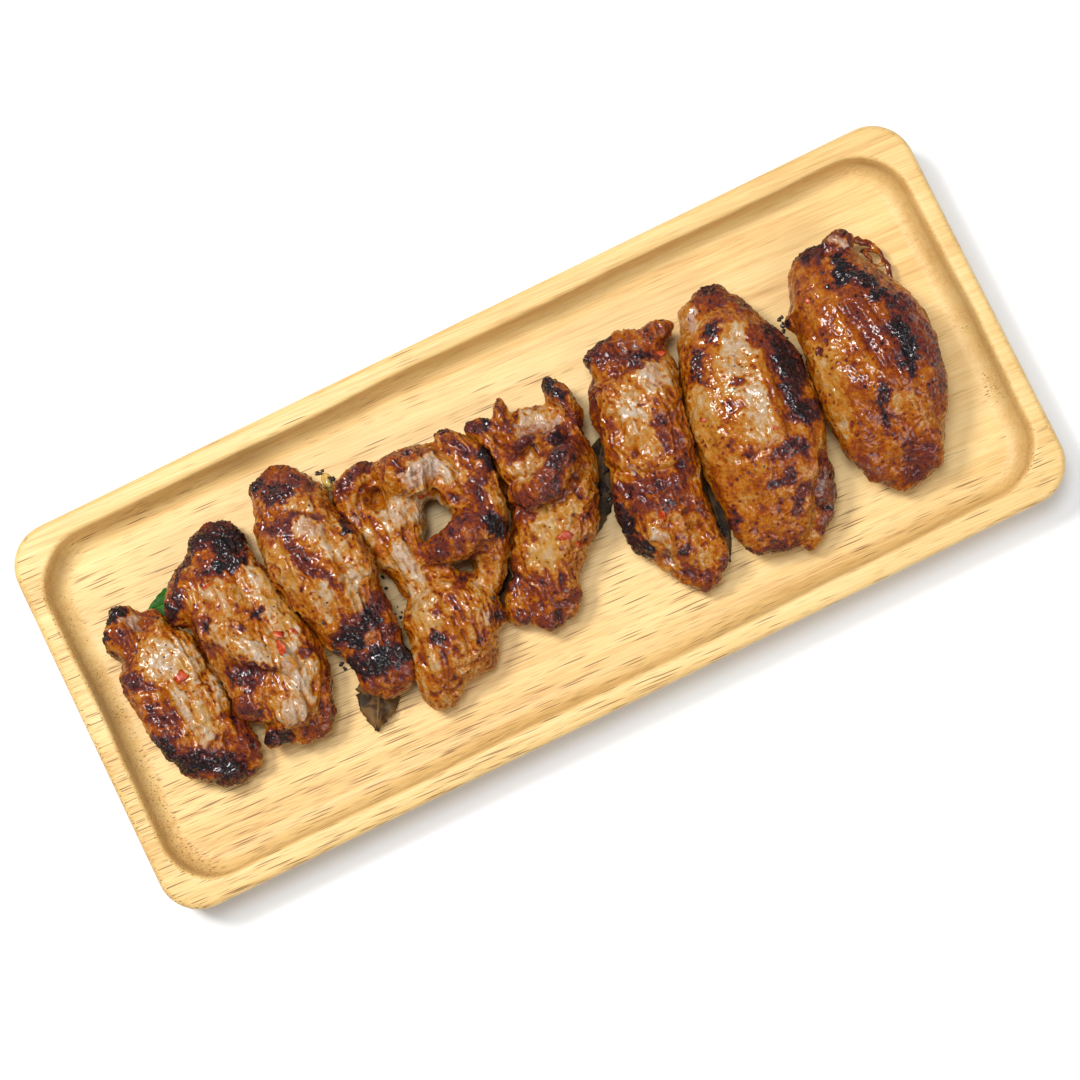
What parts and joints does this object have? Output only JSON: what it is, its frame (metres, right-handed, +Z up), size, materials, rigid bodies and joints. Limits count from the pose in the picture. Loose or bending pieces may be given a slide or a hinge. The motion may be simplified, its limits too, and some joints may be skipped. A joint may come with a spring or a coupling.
{
  "type": "chicken wings serving",
  "caption": "Roast chicken wings, flats and drumettes charred in patches, laid side by side in a shallow rectangular wooden serving tray with rounded corners.",
  "frame": {"origin": "centre of the tray's underside", "axes": "+X along the tray's length, +Y towards the tray's far long side, +Z up out of the recess"},
  "size_m": [0.3, 0.126, 0.0369],
  "materials": {
    "wood": "satin, oiled rubberwood",
    "roast_skin": "glossy roast chicken skin, charred in patches",
    "fresh_leaf": "fresh green leaf",
    "wilted_leaf": "wilted, oily leaf",
    "fat": "translucent yellow chicken fat"
  },
  "bodies": {
    "root": {"tray": "wood", "flat_1": "roast_skin", "flat_2": "roast_skin", "drumette_3": "roast_skin", "drumette_4": "roast_skin", "drumette_5": "roast_skin", "drumette_6": "roast_skin", "flat_7": "roast_skin", "flat_8": "roast_skin", "leaf_fresh": "fresh_leaf", "leaf_wilted": "wilted_leaf", "leaf_gap_4_5": "wilted_leaf", "leaf_gap_5_6": "wilted_leaf", "leaf_gap_6_7": "wilted_leaf", "fat_scrap": "fat"}
  },
  "joints": []
}
